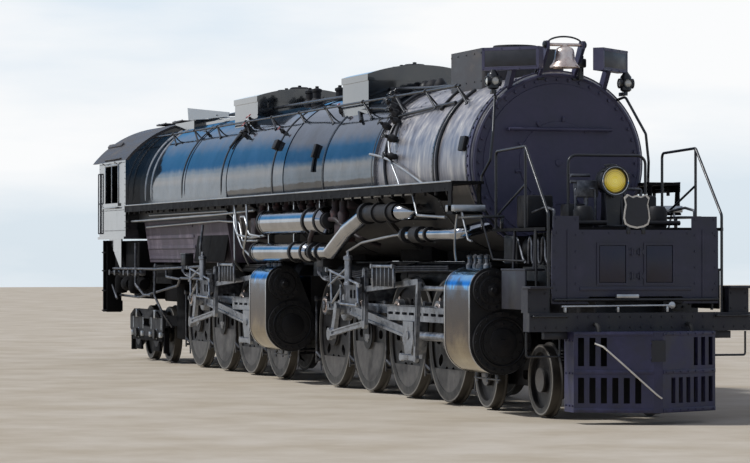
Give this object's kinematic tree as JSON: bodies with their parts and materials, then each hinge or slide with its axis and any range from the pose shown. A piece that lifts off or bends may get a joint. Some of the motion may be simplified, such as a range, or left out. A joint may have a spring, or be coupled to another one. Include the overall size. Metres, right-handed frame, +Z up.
{
  "type": "articulated steam locomotive",
  "caption": "Articulated steam locomotive without its tender: boiler and cab on a rear engine, with a front engine that swings under the smokebox.",
  "frame": {"origin": "under the middle of the engine's length and width, level with the feet of the wheel flanges", "axes": "+X forward towards the pilot, +Y to the engine's left, +Z up"},
  "size_m": [25.99, 3.2798, 4.988],
  "materials": {
    "jacket_black": "glossy black paint on sheet steel",
    "graphite": "matt graphite paint",
    "cab_black": "satin black paint",
    "frame_black": "painted cast steel, dusty and oily",
    "rod_steel": "machined steel, oily",
    "wheel_steel": "painted cast steel with worn tyres",
    "polished_pipe": "polished sheet jacket",
    "lamp_rim": "chromed rim",
    "bell_brass": "polished bell metal"
  },
  "bodies": {
    "boiler_and_rear_engine": {"boiler": "jacket_black", "smokebox_front": "graphite", "stack_casing": "graphite", "front_sand_box": "jacket_black", "rear_sand_box": "jacket_black", "firebox_sides": "cab_black", "running_boards": "cab_black", "cab_roof": "cab_black", "cab_front": "cab_black", "cab_back": "cab_black", "cab_right_side": "cab_black", "cab_left_side": "cab_black", "cab_floor": "cab_black", "rear_bed": "frame_black", "rear_cylinders": "frame_black", "rear_main_rods": "rod_steel", "rear_crossheads": "rod_steel", "rear_valve_gear": "rod_steel", "rear_guides": "frame_black", "rear_link_brackets": "frame_black", "coolers": "polished_pipe", "number_boards": "graphite", "bell_stand": "graphite", "turret_casing": "jacket_black", "boiler_handrails": "polished_pipe", "steam_pipes": "polished_pipe"},
    "front_engine": {"front_bed": "frame_black", "front_cylinders": "frame_black", "front_main_rods": "rod_steel", "front_crossheads": "rod_steel", "front_valve_gear": "rod_steel", "front_guides": "frame_black", "front_link_brackets": "frame_black", "front_deck": "cab_black", "air_pumps": "cab_black", "shield": "cab_black", "pilot_beam": "cab_black", "pilot": "cab_black", "coupler": "cab_black", "headlight": "lamp_rim", "deck_handrails": "polished_pipe"},
    "leading_truck": {"leading_truck": "frame_black"},
    "trailing_truck": {"trailing_truck": "frame_black"},
    "bell": {"bell": "bell_brass"},
    "leading_wheels_1": {"leading_wheels_1": "wheel_steel"},
    "leading_wheels_2": {"leading_wheels_2": "wheel_steel"},
    "trailing_wheels_1": {"trailing_wheels_1": "wheel_steel"},
    "trailing_wheels_2": {"trailing_wheels_2": "wheel_steel"},
    "rear_driver_1": {"rear_driver_1": "wheel_steel"},
    "rear_driver_2": {"rear_driver_2": "wheel_steel"},
    "rear_driver_3": {"rear_driver_3": "wheel_steel"},
    "rear_driver_4": {"rear_driver_4": "wheel_steel"},
    "rear_right_coupling_rods": {"rear_right_coupling_rods": "rod_steel"},
    "rear_left_coupling_rods": {"rear_left_coupling_rods": "rod_steel"},
    "front_driver_1": {"front_driver_1": "wheel_steel"},
    "front_driver_2": {"front_driver_2": "wheel_steel"},
    "front_driver_3": {"front_driver_3": "wheel_steel"},
    "front_driver_4": {"front_driver_4": "wheel_steel"},
    "front_right_coupling_rods": {"front_right_coupling_rods": "rod_steel"},
    "front_left_coupling_rods": {"front_left_coupling_rods": "rod_steel"}
  },
  "joints": [
    {"name": "engine_hinge", "type": "hinge", "parent": "boiler_and_rear_engine", "child": "front_engine", "pos_m": [0.855, 0, 1.078], "axis": [0, 0, 1], "range_deg": [-5, 5]},
    {"name": "leading_truck_swivel", "type": "hinge", "parent": "front_engine", "child": "leading_truck", "pos_m": [10.01, 0, 1.028], "axis": [0, 0, 1], "range_deg": [-3.5, 3.5]},
    {"name": "trailing_truck_swivel", "type": "hinge", "parent": "boiler_and_rear_engine", "child": "trailing_truck", "pos_m": [-8.505, 0, 1.028], "axis": [0, 0, 1], "range_deg": [-3, 3]},
    {"name": "bell_swing", "type": "hinge", "parent": "boiler_and_rear_engine", "child": "bell", "pos_m": [9.795, 0, 4.878], "axis": [0, 1, 0], "range_deg": [-35, 35]},
    {"name": "leading_wheels_1_turn", "type": "hinge", "parent": "leading_truck", "child": "leading_wheels_1", "pos_m": [11.045, 0, 0.485], "axis": [0, 1, 0], "continuous": true},
    {"name": "leading_wheels_2_turn", "type": "hinge", "parent": "leading_truck", "child": "leading_wheels_2", "pos_m": [8.975, 0, 0.485], "axis": [0, 1, 0], "continuous": true},
    {"name": "trailing_wheels_1_turn", "type": "hinge", "parent": "trailing_truck", "child": "trailing_wheels_1", "pos_m": [-9.465, 0, 0.561], "axis": [0, 1, 0], "continuous": true},
    {"name": "trailing_wheels_2_turn", "type": "hinge", "parent": "trailing_truck", "child": "trailing_wheels_2", "pos_m": [-11.04, 0, 0.561], "axis": [0, 1, 0], "continuous": true},
    {"name": "rear_driver_1_turn", "type": "hinge", "parent": "boiler_and_rear_engine", "child": "rear_driver_1", "pos_m": [-1.443, 0, 0.892], "axis": [0, 1, 0], "continuous": true},
    {"name": "rear_driver_2_turn", "type": "hinge", "parent": "boiler_and_rear_engine", "child": "rear_driver_2", "pos_m": [-3.297, 0, 0.892], "axis": [0, 1, 0], "continuous": true},
    {"name": "rear_driver_3_turn", "type": "hinge", "parent": "boiler_and_rear_engine", "child": "rear_driver_3", "pos_m": [-5.151, 0, 0.892], "axis": [0, 1, 0], "continuous": true},
    {"name": "rear_driver_4_turn", "type": "hinge", "parent": "boiler_and_rear_engine", "child": "rear_driver_4", "pos_m": [-7.005, 0, 0.892], "axis": [0, 1, 0], "continuous": true},
    {"name": "rear_right_coupling_rods_turn", "type": "hinge", "parent": "rear_driver_3", "child": "rear_right_coupling_rods", "pos_m": [-5.151, -0.9325, 1.298], "axis": [0, 1, 0], "continuous": true},
    {"name": "rear_left_coupling_rods_turn", "type": "hinge", "parent": "rear_driver_3", "child": "rear_left_coupling_rods", "pos_m": [-5.557, 0.9325, 0.892], "axis": [0, 1, 0], "continuous": true},
    {"name": "front_driver_1_turn", "type": "hinge", "parent": "front_engine", "child": "front_driver_1", "pos_m": [7.396, 0, 0.892], "axis": [0, 1, 0], "continuous": true},
    {"name": "front_driver_2_turn", "type": "hinge", "parent": "front_engine", "child": "front_driver_2", "pos_m": [5.542, 0, 0.892], "axis": [0, 1, 0], "continuous": true},
    {"name": "front_driver_3_turn", "type": "hinge", "parent": "front_engine", "child": "front_driver_3", "pos_m": [3.688, 0, 0.892], "axis": [0, 1, 0], "continuous": true},
    {"name": "front_driver_4_turn", "type": "hinge", "parent": "front_engine", "child": "front_driver_4", "pos_m": [1.834, 0, 0.892], "axis": [0, 1, 0], "continuous": true},
    {"name": "front_right_coupling_rods_turn", "type": "hinge", "parent": "front_driver_3", "child": "front_right_coupling_rods", "pos_m": [3.688, -0.9325, 1.298], "axis": [0, 1, 0], "continuous": true},
    {"name": "front_left_coupling_rods_turn", "type": "hinge", "parent": "front_driver_3", "child": "front_left_coupling_rods", "pos_m": [3.282, 0.9325, 0.892], "axis": [0, 1, 0], "continuous": true}
  ],
  "couplings": [
    {"joint": "rear_driver_1_turn", "follows": "rear_driver_3_turn", "ratio": 1},
    {"joint": "rear_driver_2_turn", "follows": "rear_driver_3_turn", "ratio": 1},
    {"joint": "rear_driver_4_turn", "follows": "rear_driver_3_turn", "ratio": 1},
    {"joint": "rear_right_coupling_rods_turn", "follows": "rear_driver_3_turn", "ratio": -1},
    {"joint": "rear_left_coupling_rods_turn", "follows": "rear_driver_3_turn", "ratio": -1},
    {"joint": "front_driver_1_turn", "follows": "front_driver_3_turn", "ratio": 1},
    {"joint": "front_driver_2_turn", "follows": "front_driver_3_turn", "ratio": 1},
    {"joint": "front_driver_4_turn", "follows": "front_driver_3_turn", "ratio": 1},
    {"joint": "front_right_coupling_rods_turn", "follows": "front_driver_3_turn", "ratio": -1},
    {"joint": "front_left_coupling_rods_turn", "follows": "front_driver_3_turn", "ratio": -1}
  ]
}
